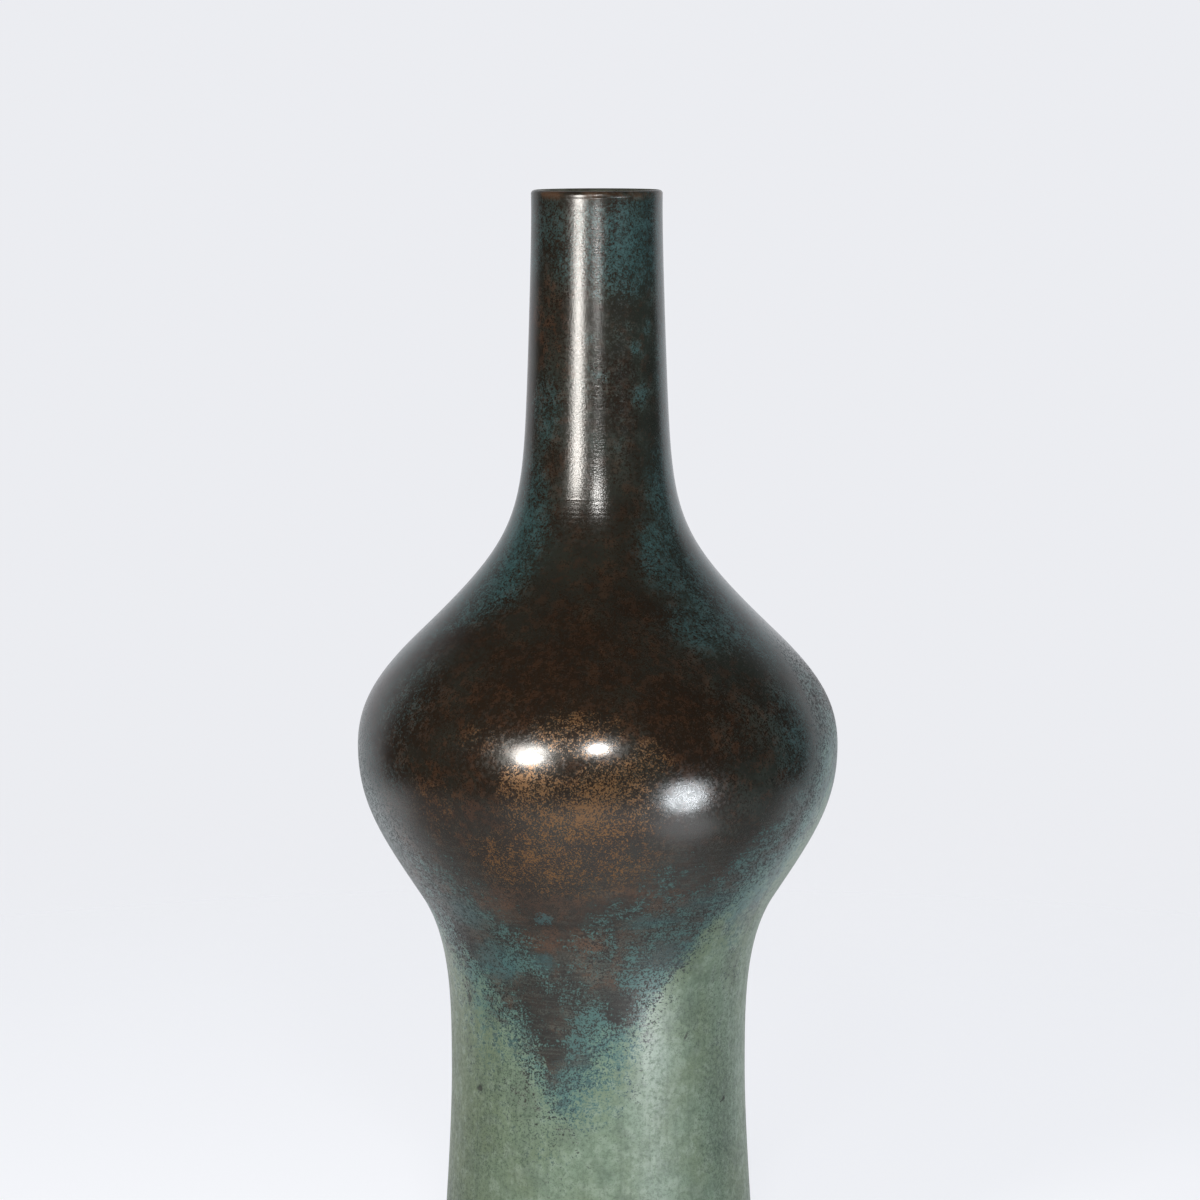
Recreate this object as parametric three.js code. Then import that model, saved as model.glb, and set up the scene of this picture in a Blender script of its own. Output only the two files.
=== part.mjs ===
// Copper flower vase: spun sections joined end to end by brazed inside laps, a turned mouth ring,
// a turned foot ring and a base plate let into it. Millimetres, +Z up, origin at the centre of the
// foot's standing face. Every piece is round about the Z axis.
import * as THREE from "three";

// Outline of the outside: the whole height, diameters, and the rise from each station to the next. The
// neck takes up what the other rises leave of the height.
const vaseHeight = 273;
const footDiameter = 78;
const footToWaist = 62;
const waistDiameter = 71.1;
const waistToBelly = 43;
const bellyDiameter = 85.4;
const bellyToBulb = 36;
const bulbDiameter = 115;
const bulbToShoulder = 26.5;
const shoulderDiameter = 85.9;
const shoulderToNeck = 57.5;
const neckDiameter = 33.5;
const mouthDiameter = 31.1;

// Lean of the skin from upright at the stations that aren't upright, in degrees.
const footLeanIn = 4;
const bellyLeanOut = 33;
const shoulderLeanIn = 46;
const neckLeanIn = 2.5;
const mouthLeanOut = 2;

// Sheet and joints.
const sheet = 1.2;
const brazeGap = 0.12;
const lapLength = 5;
const lapStep = 2.5;
const brazeLeg = 1.2;
const neckSeamRise = 34;

// Mouth ring.
const lipHeight = 1.5;
const skirtLength = 4.5;
const skirtWall = 0.5;
const skirtBrazeLeg = 0.8;

// Foot ring and base plate.
const footRingHeight = 8;
const footEdgeRound = 0.8;
const baseRecess = 3;
const ledgeWidth = 2.2;
const basePlateThickness = 1.5;
const basePlateClearance = 0.15;
const solderLeg = 1.4;

// Facets: sides round the axis, and the closest that two rings of facets come in height.
const sides = 48;
const closestRings = 1.8;

// Heights that the pieces share.
const footSeam = footRingHeight;
const waistSeam = footToWaist;
const bulbSeam = waistSeam + waistToBelly + bellyToBulb;
const shoulderHeight = bulbSeam + bulbToShoulder;
const neckSeam = shoulderHeight + neckSeamRise;
const mouthSeat = vaseHeight - lipHeight;
const lapSeams = [footSeam, waistSeam, bulbSeam, neckSeam];
const neckToMouth = mouthSeat - shoulderHeight - shoulderToNeck;

// Stations of the outline, foot to mouth. reach is how far the curve's handles go below and above the
// station, as a share of the straight distance to its neighbour, and rings is the facets below it.
const stations = [
  { diameter: footDiameter, rise: 0, lean: -footLeanIn, reach: [0, 0.36], rings: 0 },
  { diameter: waistDiameter, rise: footToWaist, lean: 0, reach: [0.24, 0.35], rings: 4 },
  { diameter: bellyDiameter, rise: waistToBelly, lean: bellyLeanOut, reach: [0.31, 0.47], rings: 5 },
  { diameter: bulbDiameter, rise: bellyToBulb, lean: 0, reach: [0.34, 0.32], rings: 6 },
  { diameter: shoulderDiameter, rise: bulbToShoulder, lean: -shoulderLeanIn, reach: [0.47, 0.52], rings: 6 },
  { diameter: neckDiameter, rise: shoulderToNeck, lean: -neckLeanIn, reach: [0.47, 0.13], rings: 8 },
  { diameter: mouthDiameter, rise: neckToMouth, lean: mouthLeanOut, reach: [0.16, 0], rings: 3 },
];

// The skin between two neighbouring stations, a curve in radius and height.
function stretchBetween(below, above, baseHeight) {
  const start = new THREE.Vector2(below.diameter / 2, baseHeight);
  const end = new THREE.Vector2(above.diameter / 2, baseHeight + above.rise);
  const length = start.distanceTo(end);
  const handle = (lean, reach) => {
    const angle = THREE.MathUtils.degToRad(lean);
    return new THREE.Vector2(Math.sin(angle), Math.cos(angle)).multiplyScalar(reach * length);
  };
  const leaving = start.clone().add(handle(below.lean, below.reach[1]));
  const arriving = end.clone().sub(handle(above.lean, above.reach[0]));
  return new THREE.CubicBezierCurve(start, leaving, arriving, end);
}

const stretches = [];
let stationHeight = 0;
for (let i = 1; i < stations.length; i++) {
  stretches.push(stretchBetween(stations[i - 1], stations[i], stationHeight));
  stationHeight += stations[i].rise;
}

// Points and tangents along the whole skin, close enough to read any radius from.
const samplesPerStretch = 160;
const skin = stretches.flatMap((stretch) =>
  Array.from({ length: samplesPerStretch + 1 }, (_, i) => ({
    point: stretch.getPoint(i / samplesPerStretch),
    tangent: stretch.getTangent(i / samplesPerStretch),
  })),
);

// Radius, at a height, of the surface that lies a depth inside the skin, measured square to it.
function radiusAt(height, depth) {
  const line = skin.map(({ point, tangent }) =>
    new THREE.Vector2(point.x - depth * tangent.y, point.y + depth * tangent.x),
  );
  const found = line.findIndex((point) => point.y >= height);
  const upper = found === -1 ? line.length - 1 : Math.max(found, 1);
  const [a, b] = [line[upper - 1], line[upper]];
  if (a.y === b.y) return b.x;
  return THREE.MathUtils.lerp(a.x, b.x, (height - a.y) / (b.y - a.y));
}

// Heights of the rings of facets: the joints' own heights first, then the outline's, kept apart from them.
const jointHeights = lapSeams.flatMap((seam) => [
  seam,
  seam + lapLength,
  seam + lapLength + brazeLeg,
]);
const outlineHeights = stretches.flatMap((stretch, i) =>
  stretch.getPoints(stations[i + 1].rings).map((point) => point.y),
);
const ringHeights = [...jointHeights, mouthSeat - skirtLength - skirtBrazeLeg];
for (const height of outlineHeights) {
  if (ringHeights.every((other) => Math.abs(other - height) > closestRings)) ringHeights.push(height);
}
ringHeights.sort((a, b) => a - b);

// Points from one height up to another on a surface whose radius is given by a rule.
function lineUp(low, high, radiusRule) {
  const inner = ringHeights.filter((height) => height > low && height < high);
  return [low, ...inner, high].map((height) => new THREE.Vector2(radiusRule(height), height));
}

const outside = (height) => radiusAt(height, 0);
const inside = (height) => radiusAt(height, sheet);

// Outer face of the lap above a seam: it follows the section that slips over it, and is nowhere wider
// than that section's lower end.
function lapRadius(seam) {
  return (height) => Math.min(inside(height), inside(seam)) - brazeGap;
}

// Inner radius of the top edge of a spun section's lap.
function lapBore(seam) {
  return lapRadius(seam)(seam + lapLength) - sheet;
}

// A closed section turned about the Z axis, whichever way round its points run.
function turned(section) {
  const area = THREE.ShapeUtils.area(section);
  const profile = area > 0 ? section : [...section].reverse();
  const geometry = new THREE.LatheGeometry([...profile, profile[0]], sides);
  return geometry.rotateX(Math.PI / 2);
}

// A solid disc turned about the Z axis, from its axis out and back.
function turnedDisc(radius, thickness) {
  const profile = [
    new THREE.Vector2(0, 0),
    new THREE.Vector2(radius, 0),
    new THREE.Vector2(radius, thickness),
    new THREE.Vector2(0, thickness),
  ];
  return new THREE.LatheGeometry(profile, sides).rotateX(Math.PI / 2);
}

// A spun section: its lower edge butts on the piece below, and its top is stepped in to a lap that
// stands up inside the piece above.
function spunSection(low, high) {
  const lap = lapRadius(high);
  const lapTop = high + lapLength;
  return turned([
    ...lineUp(low, high, outside),
    ...lineUp(high, lapTop, lap),
    ...lineUp(high, lapTop, (height) => lap(height) - sheet).reverse(),
    ...lineUp(low, high - lapStep, inside).reverse(),
  ]);
}

// The neck tube: as a spun section, with a plain top for the mouth ring.
function neckTube() {
  return turned([
    ...lineUp(neckSeam, mouthSeat, outside),
    ...lineUp(neckSeam, mouthSeat, inside).reverse(),
  ]);
}

// The mouth ring: a rounded lip on the neck's top edge, and a skirt down inside the neck. Its own
// height zero is the edge that it sits on.
const skirtRadius = Math.min(inside(mouthSeat - skirtLength), inside(mouthSeat)) - brazeGap;
const mouthBore = skirtRadius - skirtWall;
function mouthRing() {
  const lipOuter = mouthDiameter / 2;
  const lipCentre = (lipOuter + mouthBore) / 2;
  const lipHalfWidth = (lipOuter - mouthBore) / 2;
  const lip = new THREE.EllipseCurve(lipCentre, 0, lipHalfWidth, lipHeight, 0, Math.PI);
  return turned([
    new THREE.Vector2(skirtRadius, -skirtLength),
    new THREE.Vector2(skirtRadius, 0),
    ...lip.getPoints(8),
    new THREE.Vector2(mouthBore, -skirtLength),
  ]);
}

// The foot ring: a rounded standing edge, the skin up to the foot seam, a lap above it, and a bore with
// a ledge for the base plate.
const footLap = lapRadius(footSeam);
const footLapTop = footSeam + lapLength;
const footBore = lapBore(footSeam);
const ledgeRadius = footBore - ledgeWidth;
function footRing() {
  const round = footEdgeRound;
  const edgeCentre = outside(round) - round;
  const edge = new THREE.EllipseCurve(edgeCentre, round, round, round, -Math.PI / 2, 0);
  return turned([
    new THREE.Vector2(ledgeRadius, 0),
    ...edge.getPoints(3),
    ...lineUp(round, footSeam, outside).slice(1),
    ...lineUp(footSeam, footLapTop, footLap),
    new THREE.Vector2(footBore, footLapTop),
    new THREE.Vector2(footBore, baseRecess),
    new THREE.Vector2(ledgeRadius, baseRecess),
  ]);
}

// Filler in a corner: a hollow-faced fillet between a piece's edge and the wall beside it. corner, along
// and toe are the ends of its section: in the corner, along the wall, and out along the edge.
function fillet(corner, along, toe) {
  const middle = along.clone().lerp(toe, 0.5);
  const hollow = corner.clone().lerp(middle, 0.5);
  const face = new THREE.QuadraticBezierCurve(along, hollow, toe);
  return turned([corner, ...face.getPoints(2)]);
}

// The braze on top of the lap above a seam, against the section that slips over the lap.
function lapBraze(seam, boreRadius) {
  const edge = seam + lapLength;
  const wallRadius = lapRadius(seam);
  return fillet(
    new THREE.Vector2(wallRadius(edge), edge),
    new THREE.Vector2(wallRadius(edge + brazeLeg), edge + brazeLeg),
    new THREE.Vector2(boreRadius, edge),
  );
}

// The braze under the mouth ring's skirt, against the neck's bore.
function skirtBraze() {
  const edge = mouthSeat - skirtLength;
  return fillet(
    new THREE.Vector2(skirtRadius, edge),
    new THREE.Vector2(skirtRadius, edge - skirtBrazeLeg),
    new THREE.Vector2(mouthBore, edge),
  );
}

// The solder round the top of the base plate, against the foot ring's bore.
function baseSolder() {
  const wallRadius = footBore - brazeGap;
  return fillet(
    new THREE.Vector2(wallRadius, 0),
    new THREE.Vector2(wallRadius, solderLeg),
    new THREE.Vector2(wallRadius - solderLeg, 0),
  );
}

// Finishes.
const darkPatina = { color: 0x3a322a, roughness: 0.35, metalness: 0.6 };
const greenPatina = { color: 0x7a8f78, roughness: 0.5, metalness: 0.3 };
const bareCopper = { color: 0x8a5a40, roughness: 0.45, metalness: 0.9 };
const brazeMetal = { color: 0xb8a27a, roughness: 0.4, metalness: 0.9 };
const softSolder = { color: 0x93959a, roughness: 0.45, metalness: 0.8 };

function piece(name, geometry, finish, height = 0) {
  const mesh = new THREE.Mesh(geometry, new THREE.MeshStandardMaterial(finish));
  mesh.name = name;
  mesh.position.z = height;
  return mesh;
}

const body = new THREE.Group();
body.add(
  piece("mouth_ring", mouthRing(), darkPatina, mouthSeat),
  piece("neck_tube", neckTube(), darkPatina),
  piece("shoulder_shell", spunSection(bulbSeam, neckSeam), darkPatina),
  piece("belly_shell", spunSection(waistSeam, bulbSeam), darkPatina),
  piece("lower_body", spunSection(footSeam, waistSeam), greenPatina),
);

const baseRadius = footBore - basePlateClearance;
const base = new THREE.Group();
base.add(
  piece("foot_ring", footRing(), greenPatina),
  piece("base_plate", turnedDisc(baseRadius, basePlateThickness), bareCopper, baseRecess),
);

const filler = new THREE.Group();
filler.add(
  piece("mouth_seam_braze", skirtBraze(), brazeMetal),
  piece("neck_seam_braze", lapBraze(neckSeam, lapBore(neckSeam)), brazeMetal),
  piece("bulb_seam_braze", lapBraze(bulbSeam, lapBore(bulbSeam)), brazeMetal),
  piece("waist_seam_braze", lapBraze(waistSeam, lapBore(waistSeam)), brazeMetal),
  piece("foot_seam_braze", lapBraze(footSeam, footBore), brazeMetal),
  piece("base_plate_solder", baseSolder(), softSolder, baseRecess + basePlateThickness),
);

const vase = new THREE.Group();
vase.name = "copper_flower_vase";
vase.add(body, base, filler);

export default vase;
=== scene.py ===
import math

import bmesh
import bpy
from mathutils import Euler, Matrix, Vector
from mathutils.geometry import interpolate_bezier


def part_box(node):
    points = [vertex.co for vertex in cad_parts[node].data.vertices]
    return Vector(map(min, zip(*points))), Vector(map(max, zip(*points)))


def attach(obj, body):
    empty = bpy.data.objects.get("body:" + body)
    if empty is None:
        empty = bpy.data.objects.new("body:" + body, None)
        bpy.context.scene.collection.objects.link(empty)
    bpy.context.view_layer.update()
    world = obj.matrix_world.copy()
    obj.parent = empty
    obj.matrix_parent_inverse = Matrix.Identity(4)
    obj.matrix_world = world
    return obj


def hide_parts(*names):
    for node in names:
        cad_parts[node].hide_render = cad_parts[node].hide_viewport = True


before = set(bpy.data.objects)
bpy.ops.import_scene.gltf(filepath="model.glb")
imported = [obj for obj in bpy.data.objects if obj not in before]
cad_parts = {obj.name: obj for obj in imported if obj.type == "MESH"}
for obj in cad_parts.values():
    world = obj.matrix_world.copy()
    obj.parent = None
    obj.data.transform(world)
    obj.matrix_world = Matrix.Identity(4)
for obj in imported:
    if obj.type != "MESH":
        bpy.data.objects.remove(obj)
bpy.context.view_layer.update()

scene = bpy.context.scene
scene.view_settings.view_transform = "Standard"
print("frame loaded,", len(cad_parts), "nodes")


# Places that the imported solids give, in metres.
def lowEnd(node):
    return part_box(node)[0].z


def highEnd(node):
    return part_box(node)[1].z


def widestRadius(node):
    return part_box(node)[1].x


seams = {
    "foot": lowEnd("lower_body"),
    "waist": lowEnd("belly_shell"),
    "bulb": lowEnd("shoulder_shell"),
    "neck": lowEnd("neck_tube"),
    "mouth": highEnd("neck_tube"),
}
vaseTop = highEnd("mouth_ring")

# Outline of the vase, foot to mouth. lean is degrees from upright, below and above are the reach of
# the curve's handles as a share of the way to the neighbouring station.
outline = [
    {"name": "foot", "radius": 0.0390, "height": 0.0, "lean": -4, "below": 0, "above": 0.36},
    {"name": "waist", "radius": 0.03555, "height": seams["waist"], "lean": 0, "below": 0.24, "above": 0.35},
    {"name": "belly", "radius": 0.0427, "height": 0.105, "lean": 33, "below": 0.31, "above": 0.47},
    {"name": "bulb", "radius": widestRadius("belly_shell"), "height": seams["bulb"], "lean": 0,
     "below": 0.34, "above": 0.32},
    {"name": "shoulder", "radius": 0.04295, "height": 0.1675, "lean": -46, "below": 0.47, "above": 0.52},
    {"name": "neck", "radius": 0.01675, "height": 0.225, "lean": -2.5, "below": 0.47, "above": 0.13},
    {"name": "mouth", "radius": widestRadius("mouth_ring"), "height": seams["mouth"], "lean": 2,
     "below": 0.16, "above": 0},
]
stretchSamples = 220


def stationHandle(station, reach, length):
    lean = math.radians(station["lean"])
    return Vector((math.sin(lean), math.cos(lean))) * reach * length


def skinLine():
    line = []
    for low, high in zip(outline, outline[1:]):
        start = Vector((low["radius"], low["height"]))
        end = Vector((high["radius"], high["height"]))
        length = (end - start).length
        leaving = start + stationHandle(low, low["above"], length)
        arriving = end - stationHandle(high, high["below"], length)
        line += interpolate_bezier(start, leaving, arriving, end, stretchSamples)[:-1]
    return line + [end]


outerSkin = skinLine()


def skinAt(depth):
    # the skin moved in, square to itself, by a depth
    moved = []
    for i, point in enumerate(outerSkin):
        along = outerSkin[min(i + 1, len(outerSkin) - 1)] - outerSkin[max(i - 1, 0)]
        along.normalize()
        moved.append(Vector((point.x - depth * along.y, point.y + depth * along.x)))
    return moved


sheetThickness = 0.0012
innerSkin = skinAt(sheetThickness)


def radiusOn(line, height):
    for a, b in zip(line, line[1:]):
        if b.y >= height:
            return a.x + (b.x - a.x) * (height - a.y) / (b.y - a.y)
    return line[-1].x


# Surface meshes: every piece is a closed section turned round the Z axis. Rings crowd towards both ends
# of a run, where the seams are.
turning = {"steps": 240, "outsideStep": 0.0014, "insideStep": 0.004, "sharpAngle": 35,
           "endSteps": (0.00006, 0.00012, 0.0002, 0.00035, 0.0006)}


def heightSteps(low, high, step):
    count = max(2, round((high - low) / step))
    middle = [low + (high - low) * i / count for i in range(1, count)]
    ends = [low + s for s in turning["endSteps"]] + [high - s for s in turning["endSteps"]]
    return [low] + sorted(middle + ends) + [high]


def turnSection(name, runs, materials):
    # runs: lists of (radius, height) points with the index of their material, closing on the first
    bm = bmesh.new()
    angles = [2 * math.pi * i / turning["steps"] for i in range(turning["steps"])]
    rings = []
    for points, materialIndex in runs:
        for radius, height in points:
            if radius == 0:
                ring = [bm.verts.new((0, 0, height))]
            else:
                ring = [bm.verts.new((radius * math.sin(a), -radius * math.cos(a), height)) for a in angles]
            rings.append((ring, materialIndex))
    for i, (ring, materialIndex) in enumerate(rings):
        nextRing, nextIndex = rings[(i + 1) % len(rings)]
        if len(ring) == 1 and len(nextRing) == 1:
            continue
        for k in range(turning["steps"]):
            after = (k + 1) % turning["steps"]
            if len(ring) == 1:
                corners = [ring[0], nextRing[after], nextRing[k]]
            elif len(nextRing) == 1:
                corners = [ring[k], ring[after], nextRing[0]]
            else:
                corners = [ring[k], ring[after], nextRing[after], nextRing[k]]
            face = bm.faces.new(corners)
            face.material_index = nextIndex
            face.smooth = True
    bmesh.ops.recalc_face_normals(bm, faces=bm.faces)
    mesh = bpy.data.meshes.new(name)
    bm.to_mesh(mesh)
    bm.free()
    mesh.set_sharp_from_angle(angle=math.radians(turning["sharpAngle"]))
    for material in materials:
        mesh.materials.append(material)
    piece = bpy.data.objects.new(name, mesh)
    scene.collection.objects.link(piece)
    return piece


def standFor(piece, node):
    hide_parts(node)
    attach(piece, "root")


# Shader helpers: each puts one node in a tree and gives back its output.
def feed(tree, socket, value):
    if isinstance(value, bpy.types.NodeSocket):
        tree.links.new(value, socket)
    else:
        socket.default_value = value


def calc(tree, operation, a, b=0.0):
    node = tree.nodes.new("ShaderNodeMath")
    node.operation = operation
    feed(tree, node.inputs[0], a)
    feed(tree, node.inputs[1], b)
    return node.outputs[0]


def vectorCalc(tree, operation, a, b):
    node = tree.nodes.new("ShaderNodeVectorMath")
    node.operation = operation
    feed(tree, node.inputs[0], a)
    feed(tree, node.inputs["Scale" if operation == "SCALE" else 1], b)
    return node.outputs["Value" if operation == "DISTANCE" else "Vector"]


def noise(tree, vector, scale, detail, roughness, colour=False):
    node = tree.nodes.new("ShaderNodeTexNoise")
    feed(tree, node.inputs["Vector"], vector)
    node.inputs["Scale"].default_value = scale
    node.inputs["Detail"].default_value = detail
    node.inputs["Roughness"].default_value = roughness
    return node.outputs["Color" if colour else "Fac"]


def smooth(tree, value, low, high, start=0.0, end=1.0):
    # start up to low, end from high on, and an S between them
    node = tree.nodes.new("ShaderNodeMapRange")
    node.interpolation_type = "SMOOTHSTEP"
    entries = {"Value": value, "From Min": low, "From Max": high, "To Min": start, "To Max": end}
    for name, entry in entries.items():
        feed(tree, node.inputs[name], entry)
    return node.outputs["Result"]


# the Mix node's sockets share their names, so they go by place: A, B and the result
mixSockets = {"RGBA": (6, 7, 2), "FLOAT": (2, 3, 0)}


def blend(tree, kind, factor, a, b):
    node = tree.nodes.new("ShaderNodeMix")
    node.data_type = kind
    first, second, result = mixSockets[kind]
    feed(tree, node.inputs[0], factor)
    feed(tree, node.inputs[first], a)
    feed(tree, node.inputs[second], b)
    return node.outputs[result]


def blendColour(tree, factor, a, b):
    return blend(tree, "RGBA", factor, a, b)


def blendValue(tree, factor, a, b):
    return blend(tree, "FLOAT", factor, a, b)


def useGroup(tree, group, **values):
    node = tree.nodes.new("ShaderNodeGroup")
    node.node_tree = group
    for name, value in values.items():
        feed(tree, node.inputs[name], value)
    return node


def newGroup(name, inputs, outputs):
    group = bpy.data.node_groups.new(name, "ShaderNodeTree")
    for socketName, kind, default in inputs:
        socket = group.interface.new_socket(socketName, in_out="INPUT", socket_type=kind)
        if default is not None:
            socket.default_value = default
    for socketName, kind in outputs:
        group.interface.new_socket(socketName, in_out="OUTPUT", socket_type=kind)
    return group, group.nodes.new("NodeGroupInput").outputs, group.nodes.new("NodeGroupOutput").inputs


def tint(red, green, blue):
    # an 8-bit screen colour as the linear colour that a shader takes
    def linear(value):
        share = value / 255
        return share / 12.92 if share <= 0.04045 else ((share + 0.055) / 1.055) ** 2.4
    return (linear(red), linear(green), linear(blue), 1)


metresToMm = 1000
valueSocket, colourSocket, vectorSocket = "NodeSocketFloat", "NodeSocketColor", "NodeSocketVector"


# Where a point lies on the vase: millimetres, degrees round from the front, millimetres up, and
# vectors for noise that is drawn out round the vase, as by brushing, or down it, as by running water.
drawnOut = {"Brushed": {"across": 4.5, "along": 2.0}, "Running": {"across": 45, "along": 0.05}}


def makeSurfacePlace():
    group, _, out = newGroup("surface place", [], [
        ("Position", vectorSocket), ("Azimuth", valueSocket), ("Height", valueSocket),
        ("Brushed", vectorSocket), ("Running", vectorSocket)])
    coords = group.nodes.new("ShaderNodeTexCoord").outputs["Object"]
    position = vectorCalc(group, "SCALE", coords, metresToMm)
    apart = group.nodes.new("ShaderNodeSeparateXYZ")
    group.links.new(position, apart.inputs[0])
    angle = calc(group, "ARCTAN2", apart.outputs[0], calc(group, "MULTIPLY", apart.outputs[1], -1))
    for name, scale in drawnOut.items():
        drawn = group.nodes.new("ShaderNodeCombineXYZ")
        ways = ((calc(group, "SINE", angle), scale["across"]),
                (calc(group, "COSINE", angle), scale["across"]), (apart.outputs[2], scale["along"]))
        for socket, (way, stretch) in zip(drawn.inputs, ways):
            group.links.new(calc(group, "MULTIPLY", way, stretch), socket)
        group.links.new(drawn.outputs[0], out[name])
    group.links.new(position, out["Position"])
    group.links.new(calc(group, "MULTIPLY", angle, math.degrees(1)), out["Azimuth"])
    group.links.new(apart.outputs[2], out["Height"])
    return group


# Grain of the patina, each 0 to 1: broad clouds, blotches, mottling, specks and grit, brushing round the
# vase and streaks down it. Each has the vector that it follows, its noise (scale, detail and roughness)
# and the part of the noise's range that is used.
grainVectors = ("Position", "Brushed", "Running")
grainSizes = {
    "Cloud": ("Position", (0.05, 3, 0.6), (0.3, 0.7)),
    "Blotch": ("Position", (0.12, 4, 0.6), (0.3, 0.7)),
    "Mottle": ("Position", (0.34, 4, 0.65), (0.3, 0.7)),
    "Speck": ("Position", (1.1, 3, 0.7), (0.3, 0.7)),
    "Grit": ("Position", (2.6, 2, 0.6), (0.3, 0.7)),
    "Brushing": ("Brushed", (1.0, 4, 0.65), (0.28, 0.72)),
    "Streak": ("Running", (0.5, 3, 0.6), (0.45, 0.75)),
}
# the height for bump is grain with some fine brushing
reliefNoise = {"grain": (2.0, 3, 0.65), "brushing": (2.6, 2, 0.5), "brushingShare": 0.4}


def makePatinaGrain():
    group, given, out = newGroup("patina grain", [(name, vectorSocket, None) for name in grainVectors],
                                 [(name, valueSocket) for name in (*grainSizes, "Relief")])
    for name, (vector, size, used) in grainSizes.items():
        group.links.new(smooth(group, noise(group, given[vector], *size), *used), out[name])
    brushing = noise(group, given["Brushed"], *reliefNoise["brushing"])
    relief = calc(group, "ADD", noise(group, given["Position"], *reliefNoise["grain"]),
                  calc(group, "MULTIPLY", brushing, reliefNoise["brushingShare"]))
    group.links.new(relief, out["Relief"])
    return group


def useGrain(tree, place):
    return useGroup(tree, patinaGrain, **{name: place[name] for name in grainVectors}).outputs


# Lower edge of the brown zone, where half of it has broken up: degrees round, millimetres up.
brownEdge = [
    (-180, 112), (-150, 106), (-125, 111), (-100, 116), (-85, 114), (-75, 109), (-65, 102), (-55, 97),
    (-45, 92), (-35, 86), (-27, 79), (-20, 73), (-15, 70), (-9, 73), (-4, 79), (2, 83), (8, 84), (15, 90),
    (22, 94), (30, 100), (38, 109), (45, 116), (54, 123), (61, 131), (67, 144), (74, 152), (90, 148),
    (110, 128), (135, 116), (160, 113), (180, 112),
]
edgeTop = 200  # millimetres up at the top of the curve that holds the edge


def makeBrownEdge():
    group, given, out = newGroup("brown edge", [("Azimuth", valueSocket, 0), ("Height", valueSocket, 0)],
                                 [("Above edge", valueSocket)])
    turn = calc(group, "DIVIDE", calc(group, "ADD", given["Azimuth"], 180), 360)
    curve = group.nodes.new("ShaderNodeFloatCurve")
    group.links.new(turn, curve.inputs["Value"])
    points = curve.mapping.curves[0].points
    places = [((azimuth + 180) / 360, height / edgeTop) for azimuth, height in brownEdge]
    points[0].location = places[0]
    points[-1].location = places[-1]
    for place in places[1:-1]:
        points.new(*place)
    curve.mapping.update()
    edge = calc(group, "MULTIPLY", curve.outputs["Value"], edgeTop)
    group.links.new(calc(group, "SUBTRACT", given["Height"], edge), out["Above edge"])
    return group


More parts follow.
